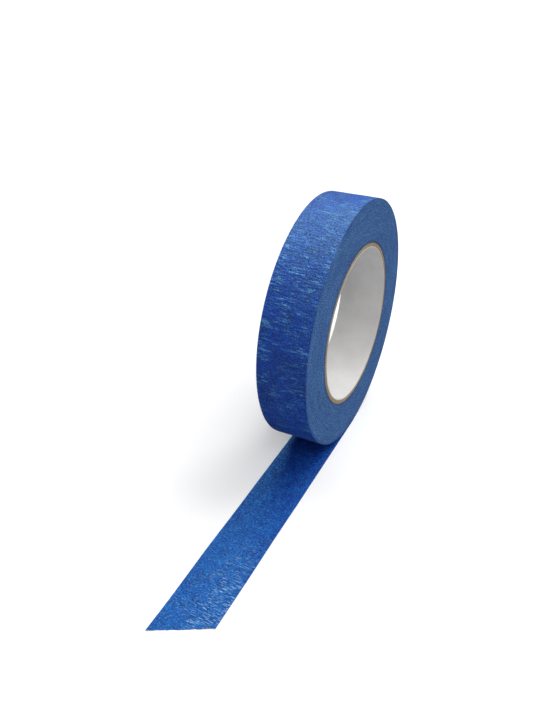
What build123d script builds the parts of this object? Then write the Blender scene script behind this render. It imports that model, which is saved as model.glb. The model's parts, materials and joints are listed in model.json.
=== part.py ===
"""A roll of 24 mm crepe masking tape standing on its rim, with its end drawn out along the floor.

Row frame, in millimetres: the origin is the centre of the core's bore, +Y runs along the roll's axis and +Z is up.
The tape leaves the roll at its lowest point and lies along -X with its adhesive side up, because the tape is wound
adhesive side in.
"""

import os
from math import radians, tan

from build123d import *

# Driving dimensions
TAPE_WIDTH = 24.0
BACKING_THICKNESS = 0.10  # saturated crepe paper
ADHESIVE_THICKNESS = 0.04
BORE_DIAMETER = 76.2  # the usual 3 inch core
ROLL_DIAMETER = 123.0  # over the turn that is being drawn off
LINER_THICKNESS = 0.42  # white-faced paper inside the core
BOARD_THICKNESS = 0.42  # one ply of kraft board
BOARD_PLIES = 4
WRAP_THICKNESS = 0.12  # kraft paper that covers the board
RUNNING_GAP = 0.02  # between the roll and the tape under it

# The drawn-off tape, as distances from the line where it leaves the roll
NIP_BACK = 3.5  # how far it reaches under the far side of the roll, as the roll's footprint
NIP_LENGTH = 30.0
LIFT_LINE = 108.0  # where the free end bends up when it is picked up
TAIL_LENGTH = 149.5  # to the middle of the torn end
TEAR_SKEW = 28.0  # degrees between the torn end and a square cut

# Worked out from those
TAPE_THICKNESS = BACKING_THICKNESS + ADHESIVE_THICKNESS
BORE_RADIUS = BORE_DIAMETER / 2
FLOOR = -ROLL_DIAMETER / 2
WOUND_RADIUS = ROLL_DIAMETER / 2 - TAPE_THICKNESS - RUNNING_GAP
HALF_WIDTH = TAPE_WIDTH / 2
TEAR_REACH = HALF_WIDTH * tan(radians(TEAR_SKEW))


def ring(label, inner_radius, outer_radius):
    """One layer of the roll, as wide as the tape, round the Y axis."""
    with BuildPart() as layer:
        with BuildSketch(Plane.XZ):
            Circle(outer_radius)
            Circle(inner_radius, mode=Mode.SUBTRACT)
        extrude(amount=HALF_WIDTH, both=True)
    layer.part.label = label
    return layer.part


def core():
    """The paperboard tube: a white liner, plies of kraft board and a kraft wrap, glued face to face."""
    layers = [("core_liner", LINER_THICKNESS)]
    layers += [(f"core_board_ply_{n}", BOARD_THICKNESS) for n in range(1, BOARD_PLIES + 1)]
    layers += [("core_outer_wrap", WRAP_THICKNESS)]
    plies = []
    radius = BORE_RADIUS
    for label, thickness in layers:
        plies.append(ring(label, radius, radius + thickness))
        radius += thickness
    return plies, radius


def strip(label, near, far, bottom, thickness, skew=0.0):
    """A flat stretch of one layer of the tape. near and far are its ends' distances from the roll along -X.

    skew moves the far end's two corners by that much each way, so that the +Y corner reaches further out.
    """
    corners = [
        (-near, -HALF_WIDTH),
        (-near, HALF_WIDTH),
        (-far - skew, HALF_WIDTH),
        (-far + skew, -HALF_WIDTH),
    ]
    with BuildPart() as stretch:
        with BuildSketch(Plane.XY.offset(bottom)):
            with BuildLine():
                Polyline(*corners, close=True)
            make_face()
        extrude(amount=thickness)
    stretch.part.label = label
    return stretch.part


def drawn_off(name, near, far, skew=0.0):
    """Both layers of a stretch of tape on the floor: the crepe backing below and the adhesive above it."""
    return [
        strip(f"{name}_backing", near, far, FLOOR, BACKING_THICKNESS, skew),
        strip(f"{name}_adhesive", near, far, FLOOR + BACKING_THICKNESS, ADHESIVE_THICKNESS, skew),
    ]


core_plies, core_radius = core()
pieces = core_plies
pieces += [ring("wound_tape", core_radius, WOUND_RADIUS - TAPE_THICKNESS)]
pieces += [ring("outer_turn", WOUND_RADIUS - TAPE_THICKNESS, WOUND_RADIUS)]
pieces += drawn_off("nip", -NIP_BACK, NIP_LENGTH)
pieces += drawn_off("tail", NIP_LENGTH, LIFT_LINE)
pieces += drawn_off("free_end", LIFT_LINE, TAIL_LENGTH, TEAR_REACH)

os.makedirs("parts", exist_ok=True)
for piece in pieces:
    export_step(piece, f"parts/{piece.label}.step")
print("core outside radius", core_radius, "wound radius", WOUND_RADIUS, "tape on the floor", TAIL_LENGTH)
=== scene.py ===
"""Looks of a roll of blue crepe masking tape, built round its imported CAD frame.

Everything is in metres in the row frame: the bore's axis is Y, +Z is up, and the drawn-off tape
lies along -X with its adhesive side up. The crepe's wrinkles run across the tape, so every crepe
noise is stretched along Y. Y lies across the tape on the roll and on the floor alike, so one noise
serves for both, with no seam where the tape leaves the roll.
"""

import json
import math

import bpy
import numpy as np
from mathutils import Matrix, Quaternion, Vector, noise


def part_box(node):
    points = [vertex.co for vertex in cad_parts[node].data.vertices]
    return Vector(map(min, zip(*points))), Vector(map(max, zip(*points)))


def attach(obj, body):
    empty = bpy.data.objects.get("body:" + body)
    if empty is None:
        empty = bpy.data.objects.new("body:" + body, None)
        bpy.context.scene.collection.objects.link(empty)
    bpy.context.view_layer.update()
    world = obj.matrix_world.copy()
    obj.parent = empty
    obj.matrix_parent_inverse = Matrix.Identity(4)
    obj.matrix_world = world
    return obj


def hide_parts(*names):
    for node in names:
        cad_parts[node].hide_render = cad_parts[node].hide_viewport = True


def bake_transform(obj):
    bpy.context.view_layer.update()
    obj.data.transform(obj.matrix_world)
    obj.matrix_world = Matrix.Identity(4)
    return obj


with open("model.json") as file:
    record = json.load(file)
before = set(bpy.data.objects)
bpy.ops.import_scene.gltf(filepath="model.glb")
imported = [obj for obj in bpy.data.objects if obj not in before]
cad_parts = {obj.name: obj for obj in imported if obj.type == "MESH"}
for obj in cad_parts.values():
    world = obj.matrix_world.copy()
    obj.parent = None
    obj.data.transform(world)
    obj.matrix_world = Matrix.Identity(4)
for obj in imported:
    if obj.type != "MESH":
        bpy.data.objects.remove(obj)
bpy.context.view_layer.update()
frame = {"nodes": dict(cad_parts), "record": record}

MM = 0.001

# The frame's sizes
CORE_NODES = ["core_liner", *(f"core_board_ply_{n}" for n in range(1, 5)), "core_outer_wrap"]
BORE = next(m["dims"]["r_mm"] for m in frame["record"]["mounts"] if m["name"] == "core_bore") * MM
CORE_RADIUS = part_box("core_outer_wrap")[1].z
PACK_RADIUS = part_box("wound_tape")[1].z
ROLL_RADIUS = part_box("outer_turn")[1].z
HALF_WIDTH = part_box("outer_turn")[1].y
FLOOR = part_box("tail_backing")[0].z
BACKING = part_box("tail_backing")[1].z - FLOOR
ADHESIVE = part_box("tail_adhesive")[1].z - FLOOR - BACKING
NIP_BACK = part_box("nip_backing")[1].x
LIFT_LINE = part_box("tail_backing")[0].x
TORN_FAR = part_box("free_end_backing")[0].x
TORN_NEAR = min(v.co.x for v in frame["nodes"]["free_end_backing"].data.vertices if v.co.y < 0)

# The camera, fitted to the rims, the bore and the tape's edges
CAMERA_PLACE = (-0.2812, -0.1094, 0.1712)
CAMERA_AZIMUTH = -62.525
CAMERA_ELEVATION = 33.0
CAMERA_ROLL = -0.853
CAMERA_LENS = 34.58

# Crepe wrinkles: pitch along the tape, length across it, and share of the relief
WRINKLES = ((1.6 * MM, 9 * MM, 0.35), (0.75 * MM, 4 * MM, 0.4), (0.4 * MM, 1.8 * MM, 0.25))
ROLL_RELIEF = 0.08 * MM
STRIP_RELIEF = 0.045 * MM

# How far the pack stops short of its CAD radius, so that the outer turn is whole under its wrinkles
UNDER_TURN = 0.06 * MM

# How far the outer turn and the adhesive film stand in from the tape's edges
TURN_INSET = 0.03 * MM
FILM_INSET = 0.12 * MM

# How far the floor lies under the tape, so that the two don't share a plane
FLOOR_GAP = 0.02 * MM


# Meshes

def mesh_object(name, vertices, faces, sharp_angle=50):
    """An object with this mesh, smooth-shaded but for its edges sharper than sharp_angle degrees."""
    mesh = bpy.data.meshes.new(name)
    mesh.from_pydata(np.asarray(vertices).tolist(), [], np.asarray(faces).tolist())
    mesh.shade_smooth()
    mesh.set_sharp_from_angle(angle=math.radians(sharp_angle))
    made = bpy.data.objects.new(name, mesh)
    bpy.context.scene.collection.objects.link(made)
    return made


def angles(steps):
    """The angles of that many steps round the roll, from its top, as a column."""
    return np.linspace(0, 2 * math.pi, steps, endpoint=False)[:, None]


def ring(name, radii, widths):
    """A closed ring round Y. radii and widths are arrays of steps by points round its section."""
    steps, points = radii.shape
    turn = angles(steps)
    vertices = np.stack([radii * np.sin(turn), widths, radii * np.cos(turn)], axis=-1)
    here = np.arange(steps * points).reshape(steps, points)
    ahead = np.roll(here, -1, axis=0)
    corners = [here, ahead, np.roll(ahead, -1, axis=1), np.roll(here, -1, axis=1)]
    faces = np.stack(corners, axis=-1)
    return mesh_object(name, vertices.reshape(-1, 3), faces.reshape(-1, 4))


def slab(name, upper, lower):
    """A closed slab between two sheets of points, each an array of stations by points across."""
    stations, across = upper.shape[:2]
    top = np.arange(stations * across).reshape(stations, across)
    bottom = top + stations * across

    def quads(a, b, c, d):
        return np.stack([a, b, c, d], axis=-1).reshape(-1, 4)

    faces = [
        quads(top[:-1, :-1], top[1:, :-1], top[1:, 1:], top[:-1, 1:]),
        quads(bottom[:-1, 1:], bottom[1:, 1:], bottom[1:, :-1], bottom[:-1, :-1]),
        quads(top[1:, 0], top[:-1, 0], bottom[:-1, 0], bottom[1:, 0]),
        quads(top[:-1, -1], top[1:, -1], bottom[1:, -1], bottom[:-1, -1]),
        quads(top[0, :-1], top[0, 1:], bottom[0, 1:], bottom[0, :-1]),
        quads(top[-1, 1:], top[-1, :-1], bottom[-1, :-1], bottom[-1, 1:]),
    ]
    vertices = np.concatenate([upper.reshape(-1, 3), lower.reshape(-1, 3)])
    return mesh_object(name, vertices, np.concatenate(faces))


def field(function, *coordinates):
    """function of each point of some arrays of coordinates, as an array."""
    flat = [np.ravel(c) for c in np.broadcast_arrays(*coordinates)]
    values = [function(*point) for point in zip(*flat)]
    return np.array(values).reshape(np.broadcast_shapes(*(np.shape(c) for c in coordinates)))


def wrinkle(x, y, z):
    """Height of the crepe's wrinkles at a point, from about -1 to 1."""
    return 2 * sum(
        share * noise.noise((x / pitch, y / length, z / pitch)) for pitch, length, share in WRINKLES
    )


def smooth_step(value):
    """value kept between 0 and 1, with a soft start and end."""
    share = np.clip(value, 0, 1)
    return share * share * (3 - 2 * share)


# Shader nodes

def rgb(red, green, blue):
    """An opaque colour."""
    return (red, green, blue, 1.0)


def add(tree, kind, inputs=(), **settings):
    """A new node. inputs maps its sockets' names or numbers to values or to sockets to link from."""
    made = tree.nodes.new(kind)
    for key, value in settings.items():
        setattr(made, key, value)
    for key, value in dict(inputs).items():
        if isinstance(value, bpy.types.NodeSocket):
            tree.links.new(value, made.inputs[key])
        else:
            made.inputs[key].default_value = value
    return made


def material(name, shader_inputs):
    """A new material and its tree, with these values on its Principled shader."""
    made = bpy.data.materials.new(name)
    made.use_nodes = True
    shader = made.node_tree.nodes["Principled BSDF"]
    for key, value in shader_inputs.items():
        shader.inputs[key].default_value = value
    return made, made.node_tree


def finish_with(tree, **sockets):
    """Links sockets to the Principled shader's inputs."""
    shader = tree.nodes["Principled BSDF"]
    for key, socket in sockets.items():
        tree.links.new(socket, shader.inputs[key.replace("_", " ")])


def place_on_object(tree):
    """The place of each point, in metres in its object's own frame."""
    return add(tree, "ShaderNodeTexCoord").outputs["Object"]


def worked_out(tree, operation, *values):
    """What a Math node makes of these numbers and sockets."""
    return add(tree, "ShaderNodeMath", dict(enumerate(values)), operation=operation).outputs[0]


def noise_at(tree, place, detail, roughness):
    """Noise with one grain to about each unit of place."""
    made = add(tree, "ShaderNodeTexNoise", {
        "Vector": place, "Scale": 1.0, "Detail": detail, "Roughness": roughness,
    })
    return made.outputs["Fac"]


def crepe_noise(tree, pitch, length, detail=2.0, roughness=0.5, offset=0.0):
    """Noise whose grains measure pitch along the tape and length across it."""
    scaled = add(tree, "ShaderNodeMapping", {
        "Vector": place_on_object(tree),
        "Scale": (1 / pitch, 1 / length, 1 / pitch),
        "Location": (offset, offset, offset),
    })
    return noise_at(tree, scaled.outputs[0], detail, roughness)


def across_axis(tree):
    """The place on the object, with nothing along the roll's axis."""
    inputs = {0: place_on_object(tree), 1: (1, 0, 1)}
    return add(tree, "ShaderNodeVectorMath", inputs, operation="MULTIPLY").outputs[0]


def from_axis(tree):
    """The distance from the roll's axis."""
    inputs = {0: across_axis(tree)}
    return add(tree, "ShaderNodeVectorMath", inputs, operation="LENGTH").outputs["Value"]


def round_noise(tree, radial, along, detail=2.0, roughness=0.5):
    """Noise for the side faces, whose grains measure radial outwards and about along round them."""
    inputs = {0: across_axis(tree)}
    outward = add(tree, "ShaderNodeVectorMath", inputs, operation="NORMALIZE").outputs[0]
    inputs = {0: outward, "Scale": ROLL_RADIUS / along}
    angular = add(tree, "ShaderNodeVectorMath", inputs, operation="SCALE").outputs[0]
    steps = worked_out(tree, "MULTIPLY", from_axis(tree), 1 / radial)
    inputs = {0: angular, 1: add(tree, "ShaderNodeCombineXYZ", {"Y": steps}).outputs[0]}
    joined = add(tree, "ShaderNodeVectorMath", inputs, operation="ADD").outputs[0]
    return noise_at(tree, joined, detail, roughness)


def spread(tree, factor, low, high, to_low=0.0, to_high=1.0):
    """factor from low to high, spread smoothly over to_low to to_high."""
    made = add(tree, "ShaderNodeMapRange", {
        "Value": factor, "From Min": low, "From Max": high, "To Min": to_low, "To Max": to_high,
    }, interpolation_type="SMOOTHSTEP")
    return made.outputs["Result"]


def blended(tree, factor, first, second, how="MIX"):
    """Two colours, or a colour and a socket, mixed by factor."""
    inputs = {0: factor, 6: first, 7: second}
    return add(tree, "ShaderNodeMix", inputs, data_type="RGBA", blend_type=how).outputs[2]


def shaded(tree, base, factor, darker, lighter):
    """base, multiplied by a colour that goes from darker to lighter with factor."""
    return blended(tree, 1.0, base, blended(tree, factor, darker, lighter), "MULTIPLY")


def raised(tree, height, depth, strength, over=None):
    """A bump of that depth in metres, over another normal if there is one."""
    inputs = {"Height": height, "Distance": depth, "Strength": strength}
    if over is not None:
        inputs["Normal"] = over
    return add(tree, "ShaderNodeBump", inputs).outputs["Normal"]


# Materials

def crepe_paper():
    """Saturated blue paper with fine grain, painted shade in its valleys and painted light on its
    crests, and glossier streaks whose paleness is partly the paper's own and partly painted
    highlight.
    """
    made, tree = material("crepe_paper", {
        "IOR": 1.8, "Specular IOR Level": 0.76, "Specular Tint": rgb(0.47, 1.0, 0.56),
    })
    patches = crepe_noise(tree, 9 * MM, 13 * MM, detail=3.0, roughness=0.6, offset=1.7)
    clusters = crepe_noise(tree, 5 * MM, 8 * MM, detail=2.0, roughness=0.6, offset=44.2)
    grain = crepe_noise(tree, 0.50 * MM, 0.75 * MM, detail=2.0, roughness=0.7, offset=3.1)
    fine = crepe_noise(tree, 0.55 * MM, 2.6 * MM, detail=2.5, roughness=0.6, offset=7.3)
    long = crepe_noise(tree, 0.85 * MM, 6.0 * MM, detail=3.0, roughness=0.62)
    streaky = spread(tree, clusters, 0.41, 0.61, to_low=0.12)
    long_streaks = worked_out(tree, "MULTIPLY", spread(tree, long, 0.49, 0.66), streaky)

    deep_blue, blue = rgb(0.0008, 0.016, 0.372), rgb(0.0018, 0.030, 0.478)
    # The pale streak colours are partly the paper's own paler streaks and partly painted highlight
    # on the wrinkle crests.
    paper_and_highlight_fine_streak_blue, paper_and_highlight_long_streak_blue = rgb(0.005, 0.098, 0.575), rgb(0.088, 0.298, 0.750)
    base = blended(tree, spread(tree, patches, 0.3, 0.7), deep_blue, blue)
    base = blended(tree, spread(tree, fine, 0.52, 0.70), base, paper_and_highlight_fine_streak_blue)
    base = blended(tree, long_streaks, base, paper_and_highlight_long_streak_blue)
    # Painted shade in the grain's valleys and painted light on its crests.
    painted_valley_shade, painted_crest_light = rgb(0.20, 0.25, 0.44), rgb(1.90, 1.80, 1.48)
    colour = shaded(tree, base, spread(tree, grain, 0.40, 0.60), painted_valley_shade, painted_crest_light)

    normal = raised(tree, grain, depth=0.30 * MM, strength=0.9)
    normal = raised(tree, fine, depth=0.35 * MM, strength=0.8, over=normal)
    normal = raised(tree, long_streaks, depth=0.12 * MM, strength=0.9, over=normal)
    grain_roughness = spread(tree, grain, 0.42, 0.58, to_low=0.71, to_high=0.32)
    on_streaks = -0.18
    rough = worked_out(tree, "MULTIPLY_ADD", long_streaks, on_streaks, grain_roughness)
    finish_with(tree, Base_Color=colour, Roughness=rough, Normal=normal)
    return made


def tape_edges():
    """The slit edges of the turns, in fine rings, with painted shade by the core and at the rim."""
    made, tree = material("tape_edges", {"Specular IOR Level": 0.2})
    rings = round_noise(tree, 0.7 * MM, 9 * MM, detail=2.0, roughness=0.6)
    bands = round_noise(tree, 2.2 * MM, 60 * MM, detail=2.0, roughness=0.5)
    fluff = crepe_noise(tree, 0.57 * MM, 0.57 * MM, detail=2.0, roughness=0.7)
    patches = crepe_noise(tree, 14 * MM, 14 * MM, detail=2.0, roughness=0.5, offset=5.2)
    radius = from_axis(tree)
    # Painted shade: the side face turns darker and greyer by the core and at the outer rim.
    core_shade, rim_shade = 2.2 * MM, 2.0 * MM
    painted_shade_by_core = spread(tree, radius, CORE_RADIUS, CORE_RADIUS + core_shade, to_low=0.75, to_high=0.0)
    painted_shade_at_rim = spread(tree, radius, PACK_RADIUS - rim_shade, PACK_RADIUS, to_high=0.25)

    deep_ring, pale_ring = rgb(0.030, 0.093, 0.284), rgb(0.060, 0.161, 0.376)
    band_blue = rgb(0.035, 0.109, 0.304)
    painted_core_shade_blue, painted_rim_shade_blue = rgb(0.034, 0.067, 0.135), rgb(0.032, 0.067, 0.156)
    base = blended(tree, spread(tree, rings, 0.3, 0.7), deep_ring, pale_ring)
    base = blended(tree, spread(tree, bands, 0.35, 0.65, to_high=0.4), base, band_blue)
    base = blended(tree, painted_shade_by_core, base, painted_core_shade_blue)
    base = blended(tree, painted_shade_at_rim, base, painted_rim_shade_blue)
    between_fibres, on_fibres = rgb(0.30, 0.38, 0.52), rgb(1.84, 1.73, 1.56)
    base = shaded(tree, base, spread(tree, fluff, 0.38, 0.62), between_fibres, on_fibres)
    worn, fresh = rgb(0.93, 0.93, 0.94), rgb(1.08, 1.08, 1.06)
    colour = shaded(tree, base, spread(tree, patches, 0.3, 0.7), worn, fresh)

    normal = raised(tree, rings, depth=0.05 * MM, strength=0.5)
    normal = raised(tree, fluff, depth=0.20 * MM, strength=0.6, over=normal)
    rough = spread(tree, fluff, 0.3, 0.7, to_low=0.85, to_high=0.7)
    finish_with(tree, Base_Color=colour, Roughness=rough, Normal=normal)
    return made


def adhesive():
    """The tacky side: the paper's blue under a thin clear film, with painted glints and sheen by the
    near torn corner.
    """
    made, tree = material("adhesive", {
        "IOR": 1.8, "Specular IOR Level": 0.49, "Specular Tint": rgb(0.22, 1.0, 0.90),
    })
    grain = crepe_noise(tree, 0.50 * MM, 0.75 * MM, detail=2.0, roughness=0.7, offset=2.2)
    fine = crepe_noise(tree, 0.7 * MM, 3.2 * MM, detail=2.5, roughness=0.6, offset=9.4)
    patches = crepe_noise(tree, 5 * MM, 4 * MM, detail=3.0, roughness=0.6, offset=4.4)
    specks = crepe_noise(tree, 0.45 * MM, 0.9 * MM, detail=1.0, roughness=0.5, offset=5.5)
    dashes = crepe_noise(tree, 0.34 * MM, 2.8 * MM, detail=1.5, roughness=0.6, offset=6.6)
    # Painted glints and sheen: pale dashes across the tape, towards the near torn corner.
    painted_sheen_corner = towards_near_corner(tree, patches)
    painted_corner_glints = worked_out(tree, "MULTIPLY", spread(tree, dashes, 0.55, 0.66), painted_sheen_corner)

    deep_blue, blue = rgb(0.0010, 0.0045, 0.242), rgb(0.003, 0.041, 0.338)
    streak_blue, painted_glint_speck_blue = rgb(0.010, 0.074, 0.445), rgb(0.055, 0.220, 0.570)
    painted_glint_blue = rgb(0.270, 0.450, 0.700)
    base = blended(tree, spread(tree, patches, 0.35, 0.65), deep_blue, blue)
    base = blended(tree, spread(tree, fine, 0.52, 0.76), base, streak_blue)
    # Painted shade in the grain's valleys and painted light on its crests.
    painted_valley_shade, painted_crest_light = rgb(0.42, 0.48, 0.64), rgb(1.48, 1.42, 1.30)
    base = shaded(tree, base, spread(tree, grain, 0.40, 0.60), painted_valley_shade, painted_crest_light)
    # Pale specks: painted glints on the crepe's bumps.
    base = blended(tree, spread(tree, specks, 0.56, 0.70, to_high=0.65), base, painted_glint_speck_blue)
    colour = blended(tree, painted_corner_glints, base, painted_glint_blue)

    normal = raised(tree, grain, depth=0.28 * MM, strength=0.9)
    normal = raised(tree, fine, depth=0.25 * MM, strength=0.7, over=normal)
    rough = spread(tree, grain, 0.40, 0.60, to_low=0.78, to_high=0.36)
    finish_with(tree, Base_Color=colour, Roughness=rough, Normal=normal)
    return made


def towards_near_corner(tree, patches):
    """From 0 to 1 towards the near corner of the tape's torn end, with a patchy border; it masks the
    painted glints.
    """
    parts = add(tree, "ShaderNodeSeparateXYZ", {0: place_on_object(tree)}).outputs
    border = 6 * MM
    uneven = spread(tree, patches, 0.3, 0.7, to_low=-border, to_high=border)
    x = worked_out(tree, "ADD", parts["X"], uneven)
    y = worked_out(tree, "ADD", parts["Y"], uneven)
    full_to, none_from = TORN_NEAR + 5 * MM, TORN_NEAR + 60 * MM
    along = spread(tree, x, full_to, none_from, to_low=1.0, to_high=0.0)
    across = spread(tree, y, -HALF_WIDTH, 10 * MM, to_low=1.0, to_high=0.0)
    return worked_out(tree, "MULTIPLY", along, across)


def kraft_board():
    """Brown kraft board, with streaks of fibre round its cut edge and greyish patches."""
    made, tree = material("kraft_board", {"Specular IOR Level": 0.2})
    fibres = round_noise(tree, 0.12 * MM, 3 * MM, detail=3.0, roughness=0.7)
    mottle = crepe_noise(tree, 0.8 * MM, 0.8 * MM, detail=3.0, roughness=0.6, offset=6.1)
    brown, tan = rgb(0.265, 0.200, 0.130), rgb(0.470, 0.365, 0.240)
    greyish = rgb(0.330, 0.290, 0.235)
    base = blended(tree, spread(tree, fibres, 0.3, 0.7), brown, tan)
    colour = blended(tree, spread(tree, mottle, 0.4, 0.75, to_high=0.6), base, greyish)
    normal = raised(tree, fibres, depth=0.05 * MM, strength=0.6)
    rough = spread(tree, mottle, 0.3, 0.7, to_low=0.9, to_high=0.75)
    finish_with(tree, Base_Color=colour, Roughness=rough, Normal=normal)
    return made


def liner_paper():
    """White-faced paper with a faint fibre, in the bore."""
    made, tree = material("liner_paper", {"Specular IOR Level": 0.3})
    fibres = crepe_noise(tree, 2.5 * MM, 0.5 * MM, detail=4.0, roughness=0.65, offset=8.8)
    mottle = crepe_noise(tree, 11 * MM, 11 * MM, detail=3.0, roughness=0.55, offset=0.6)
    dull_white, white = rgb(0.655, 0.646, 0.636), rgb(0.715, 0.708, 0.70)
    fibre_grey = rgb(0.60, 0.595, 0.59)
    base = blended(tree, spread(tree, mottle, 0.3, 0.7), dull_white, white)
    colour = blended(tree, spread(tree, fibres, 0.45, 0.8, to_high=0.5), base, fibre_grey)
    normal = raised(tree, fibres, depth=0.04 * MM, strength=0.4)
    rough = spread(tree, fibres, 0.3, 0.7, to_low=0.62, to_high=0.5)
    finish_with(tree, Base_Color=colour, Roughness=rough, Normal=normal)
    return made


def floor_paper():
    """White paper that bounces less light than it shows, and almost none of it into sheens."""
    made, tree = material("floor_paper", {"Roughness": 0.9, "Specular IOR Level": 0.1})
    tooth = crepe_noise(tree, 1.5 * MM, 1.5 * MM)
    seen = blended(tree, tooth, rgb(0.96, 0.96, 0.965), rgb(0.98, 0.98, 0.985))
    ray = add(tree, "ShaderNodeLightPath").outputs
    bounced = blended(tree, ray["Is Glossy Ray"], rgb(0.50, 0.50, 0.51), rgb(0.01, 0.01, 0.01))
    colour = blended(tree, ray["Is Camera Ray"], bounced, seen)
    finish_with(tree, Base_Color=colour)
    return made


# The roll

def dress(piece, finish):
    """Gives a piece its material."""
    piece.data.materials.append(finish)
    return piece


def outer_turn():
    """The turn that shows: a closed shell whose outside carries the crepe's wrinkles."""
    steps, across = 2200, 40
    y = np.linspace(-HALF_WIDTH + TURN_INSET, HALF_WIDTH - TURN_INSET, across)
    turn = angles(steps)
    mean = ROLL_RADIUS - ROLL_RELIEF
    relief = field(wrinkle, mean * np.sin(turn), y[None, :], mean * np.cos(turn))
    outside = mean + ROLL_RELIEF * np.clip(relief, -1, 1)
    inside = np.full((steps, 2), PACK_RADIUS - UNDER_TURN)
    widths = np.broadcast_to(np.concatenate([y, [y[-1], y[0]]]), (steps, across + 2))
    made = ring("crepe_outer_turn", np.concatenate([outside, inside], axis=1), widths)
    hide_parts("outer_turn")
    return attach(made, "roll")


def turns_inset(side, radii, turn):
    """How far in the turns stand at side 1 or 2 of the tape, which is a few hundredths of a mm."""
    band_pitch, band_depth, band_seed = 0.9 * MM, 0.045 * MM, 11.0 * side
    drift_pitch, drift_depth, drift_seed = 18 * MM, 0.05 * MM, 5.0 * side

    def depth(x, z, radius):
        band = noise.noise((radius / band_pitch, band_seed, 0.0))
        drift = noise.noise((x / drift_pitch, drift_seed, z / drift_pitch))
        return band_depth * (band + 0.5) + drift_depth * (drift + 0.5)

    all_radii = np.broadcast_to(radii, (len(turn), len(radii)))
    inset = field(depth, radii * np.sin(turn), radii * np.cos(turn), all_radii)
    return np.clip(inset, 0, None)


def wound_pack():
    """All the turns under the outer one, with uneven side faces and bevelled rims."""
    steps, rings = 720, 58
    bevel = 0.12 * MM
    rim = PACK_RADIUS - UNDER_TURN
    between = np.linspace(CORE_RADIUS + bevel, rim - bevel, rings)
    radii = np.concatenate([[CORE_RADIUS], between, [rim]])
    bevels = np.zeros(len(radii))
    bevels[[0, -1]] = bevel

    near = -HALF_WIDTH + turns_inset(1, radii, angles(steps)) + bevels
    far = HALF_WIDTH - turns_inset(2, radii, angles(steps)) - bevels
    both_sides = np.concatenate([radii, radii[::-1]])
    all_radii = np.broadcast_to(both_sides, (steps, len(both_sides)))
    made = ring("wound_tape_pack", all_radii, np.concatenate([near, far[:, ::-1]], axis=1))
    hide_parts("wound_tape")
    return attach(made, "roll")


def core_ply(node, inner, outer, order):
    """One ply of the core, with soft cut edges that stand at slightly different depths."""
    steps = 360
    unevenness, drift_pitch, ply_seed = 0.06 * MM, 7 * MM, 3.7 * order
    bevel = min(0.05 * MM, (outer - inner) / 4)
    middle = (inner + outer) / 2
    section = np.array([inner, inner + bevel, middle, outer - bevel, outer])
    softening = np.array([bevel, 0.2 * bevel, 0, 0.2 * bevel, bevel])
    turn = angles(steps)

    def inset(side_seed):
        def depth(x, z):
            place = (x / drift_pitch, ply_seed + side_seed, z / drift_pitch)
            return unevenness * (1 + noise.noise(place))
        return field(depth, middle * np.sin(turn), middle * np.cos(turn)) + softening

    near = -HALF_WIDTH + inset(0.0)
    far = HALF_WIDTH - inset(50.0)
    both_sides = np.concatenate([section, section[::-1]])
    radii = np.broadcast_to(both_sides, (steps, len(both_sides)))
    made = ring(f"{node}_paper", radii, np.concatenate([near, far[:, ::-1]], axis=1))
    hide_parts(node)
    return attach(made, "roll")


def build_roll():
    """The core's plies, from the bore outwards, and the pack of turns."""
    kraft, liner = kraft_board(), liner_paper()
    inner = BORE
    for order, node in enumerate(CORE_NODES):
        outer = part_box(node)[1].z
        ply = core_ply(node, inner, outer, order)
        if node == "core_liner":
            dress(ply, liner)
        else:
            dress(ply, kraft)
        inner = outer
    dress(wound_pack(), tape_edges())


# The drawn-off tape

def lift(x, y):
    """How far the tape's underside ripples off the floor, a little more towards its torn end."""
    flat_until, growing_over = 35 * MM, 70 * MM
    ripple_height, edge_height = 0.18 * MM, 0.22 * MM
    ripple_length, slant = 9 * MM, 2.0
    away = smooth_step((-x - flat_until) / growing_over)
    ripple = 0.5 + 0.5 * np.sin(-x / ripple_length + slant * y / HALF_WIDTH)
    edge = (np.abs(y) / HALF_WIDTH) ** 4
    return away * (ripple_height * ripple + edge_height * edge * ripple)


def strip_sheets(x, y):
    """The tape's underside, the joint between its layers, and its top, as sheets of points.

    Its wrinkles fade out where the roll presses it flat.
    """
    pressed_from, pressed_over = 6 * MM, 9 * MM
    pressed = smooth_step((x + pressed_from) / pressed_over)
    relief = STRIP_RELIEF * (1 + np.clip(field(wrinkle, x, y, np.full_like(x, FLOOR)), -1, 1))
    low = FLOOR + lift(x, y) + relief * (1 - pressed)
    heights = (0.0, BACKING, BACKING + ADHESIVE)
    return [np.stack([x, y, low + height], axis=-1) for height in heights]


def layers(body, x, y):
    """The paper backing and the adhesive film on it, over these points."""
    under, joint, top = strip_sheets(x, y)
    paper = slab(f"{body}_crepe_backing", joint, under)
    for sheet in (top, joint):
        sheet[..., 1] *= (HALF_WIDTH - FILM_INSET) / HALF_WIDTH
    film = slab(f"{body}_adhesive_film", top, joint)
    return paper, film


def torn_edge(y):
    """Where the torn end lies at each y: on a slanting line, and ragged by up to a millimetre."""
    coarse_pitch, coarse_depth, coarse_seed = 2.2 * MM, 0.27 * MM, (4.2, 0.5)
    fine_pitch, fine_depth, fine_seed = 0.6 * MM, 0.18 * MM, (9.1, 2.5)
    slant = TORN_NEAR + (TORN_FAR - TORN_NEAR) * (y + HALF_WIDTH) / (2 * HALF_WIDTH)

    def ragged(place):
        coarse = noise.noise((place / coarse_pitch, *coarse_seed))
        fine = noise.noise((place / fine_pitch, *fine_seed))
        return coarse_depth * (1 + coarse) + fine_depth * (1 + fine)

    return slant + field(ragged, y)


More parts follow.
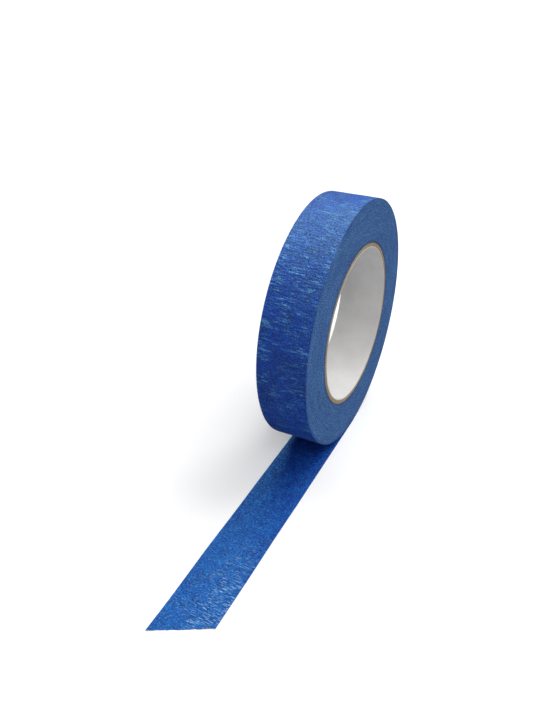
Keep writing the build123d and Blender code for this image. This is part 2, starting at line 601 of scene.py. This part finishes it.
def tail():
    """The two layers of the tape between the roll and the lift line."""
    station, across = 0.2 * MM, 41
    run = np.linspace(NIP_BACK, LIFT_LINE, int((NIP_BACK - LIFT_LINE) / station))
    x, y = np.meshgrid(run, np.linspace(-HALF_WIDTH, HALF_WIDTH, across), indexing="ij")
    pieces = layers("tail", x, y)
    for piece in pieces:
        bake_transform(piece)
    return pieces


def free_end():
    """The two layers of the tape from the lift line to its torn end."""
    stations, across = 240, 97
    fine = np.linspace(-HALF_WIDTH, HALF_WIDTH, across)
    share = np.linspace(0, 1, stations)[:, None]
    x = LIFT_LINE + share * (torn_edge(fine)[None, :] - LIFT_LINE)
    pieces = layers("free_end", x, np.broadcast_to(fine, x.shape))
    for piece in pieces:
        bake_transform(piece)
    return pieces


def build_tape():
    """The turn that shows and the drawn-off tape."""
    crepe, sticky = crepe_paper(), adhesive()
    dress(outer_turn(), crepe)
    run_paper, run_film = tail()
    end_paper, end_film = free_end()
    for paper, film in ((run_paper, run_film), (end_paper, end_film)):
        dress(paper, crepe)
        dress(film, sticky)
    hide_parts("nip_backing", "tail_backing")
    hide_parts("nip_adhesive", "tail_adhesive")
    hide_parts("free_end_backing")
    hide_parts("free_end_adhesive")


# Studio

def camera():
    """A camera at the photograph's angle."""
    azimuth, elevation, roll = np.radians([CAMERA_AZIMUTH, CAMERA_ELEVATION, CAMERA_ROLL])
    level = Vector((math.cos(azimuth), math.sin(azimuth), 0))
    ahead = Vector((-math.sin(azimuth), math.cos(azimuth), 0))
    back = -ahead * math.cos(elevation) + Vector((0, 0, math.sin(elevation)))
    right = Quaternion(back, roll) @ level
    turn = Matrix((right, back.cross(right), back)).transposed().to_4x4()
    data = bpy.data.cameras.new("camera")
    data.sensor_width = 36
    data.lens = CAMERA_LENS
    data.clip_start = 0.01
    data.clip_end = 20
    made = bpy.data.objects.new("camera", data)
    made.matrix_world = Matrix.Translation(CAMERA_PLACE) @ turn
    bpy.context.scene.collection.objects.link(made)
    bpy.context.scene.camera = made


def floor():
    """A wide flat floor, just under the tape."""
    reach, height = 4.0, FLOOR - FLOOR_GAP
    corners = [(-reach, -reach), (reach, -reach), (reach, reach), (-reach, reach)]
    made = mesh_object("floor", [(x, y, height) for x, y in corners], [(0, 1, 2, 3)])
    made.data.materials.append(floor_paper())


def sun(name, azimuth, elevation, strength, softness):
    """A soft distant light from that azimuth, 0 being from +X and 90 from +Y."""
    data = bpy.data.lights.new(name, "SUN")
    data.energy = strength
    data.angle = math.radians(softness)
    made = bpy.data.objects.new(name, data)
    a, e = math.radians(azimuth), math.radians(elevation)
    towards = Vector((math.cos(a) * math.cos(e), math.sin(a) * math.cos(e), math.sin(e)))
    made.rotation_mode = "QUATERNION"
    made.rotation_quaternion = towards.to_track_quat("Z", "Y")
    bpy.context.scene.collection.objects.link(made)


def surroundings():
    """A white room, much dimmer as a light than it looks."""
    world = bpy.data.worlds.new("studio")
    world.use_nodes = True
    bpy.context.scene.world = world
    tree = world.node_tree
    tree.nodes.clear()
    lit = add(tree, "ShaderNodeBackground", {"Color": rgb(0.95, 0.98, 1.0), "Strength": 0.02})
    seen = add(tree, "ShaderNodeBackground", {"Color": rgb(1, 1, 1), "Strength": 1.0})
    by_camera = add(tree, "ShaderNodeLightPath").outputs["Is Camera Ray"]
    inputs = {0: by_camera, 1: lit.outputs[0], 2: seen.outputs[0]}
    choice = add(tree, "ShaderNodeMixShader", inputs)
    add(tree, "ShaderNodeOutputWorld", {"Surface": choice.outputs[0]})


def studio():
    """The camera, a white floor in a white room, and six soft lights."""
    camera()
    floor()
    surroundings()
    sun("softbox_behind_right", azimuth=-35, elevation=50, strength=1.55, softness=40)
    sun("softbox_behind", azimuth=-8, elevation=62, strength=0.80, softness=40)
    sun("softbox_far_right", azimuth=25, elevation=46, strength=0.44, softness=30)
    sun("softbox_side", azimuth=-90, elevation=50, strength=0.66, softness=40)
    sun("softbox_top", azimuth=70, elevation=74, strength=0.52, softness=30)
    sun("softbox_front", azimuth=215, elevation=45, strength=1.04, softness=40)
    bpy.context.scene.view_settings.view_transform = "Standard"


studio()
build_roll()
build_tape()
